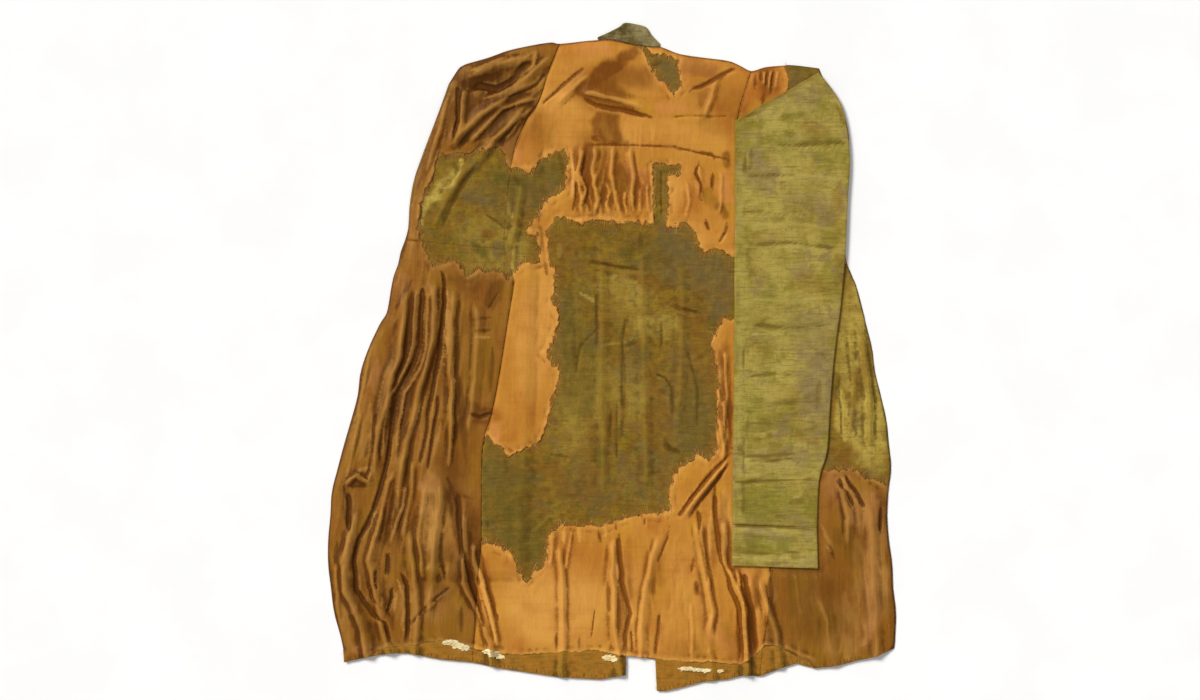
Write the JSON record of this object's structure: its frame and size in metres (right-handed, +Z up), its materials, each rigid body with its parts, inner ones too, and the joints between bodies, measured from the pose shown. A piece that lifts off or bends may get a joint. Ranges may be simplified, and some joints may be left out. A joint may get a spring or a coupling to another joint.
{
  "type": "ceremonial mantle",
  "caption": "Long sleeved ceremonial mantle laid out flat with its back up, torn silk over coarser cloth, one sleeve folded over the back and the other folded under.",
  "frame": {"origin": "on the table, under the middle of the garment's length and width", "axes": "+Y from hem to collar, +Z up from the table, +X to the right of someone who looks down with the collar away from them"},
  "size_m": [1.0642, 1.2519, 0.0217],
  "materials": {
    "orange_silk": "worn orange silk satin with a soft sheen",
    "brown_silk": "golden brown silk satin, glossier, with dark folds",
    "olive_cloth": "matt olive backing cloth with brown and yellow stains",
    "light_cloth": "matt light olive cloth with fine cross ribs",
    "collar_cloth": "matt dark olive brown cloth with cross streaks",
    "lining_cloth": "plain matt lining cloth"
  },
  "bodies": {
    "root": {"sleeve_left_head_silk": "brown_silk", "sleeve_left_head_cloth": "olive_cloth", "gore_left_silk": "brown_silk", "gore_left_cloth": "olive_cloth", "back_silk": "orange_silk", "back_cloth": "olive_cloth", "gore_right_silk": "brown_silk", "gore_right_cloth": "olive_cloth", "sleeve_right_head_silk": "orange_silk", "sleeve_right_head_cloth": "olive_cloth", "front_left": "lining_cloth", "front_right": "lining_cloth", "sleeve_left_head_under": "lining_cloth", "sleeve_right_head_under": "lining_cloth", "sleeve_left_length": "lining_cloth", "sleeve_left_cuff": "lining_cloth", "sleeve_right_length": "light_cloth", "sleeve_right_cuff": "light_cloth", "collar": "collar_cloth"}
  },
  "joints": []
}
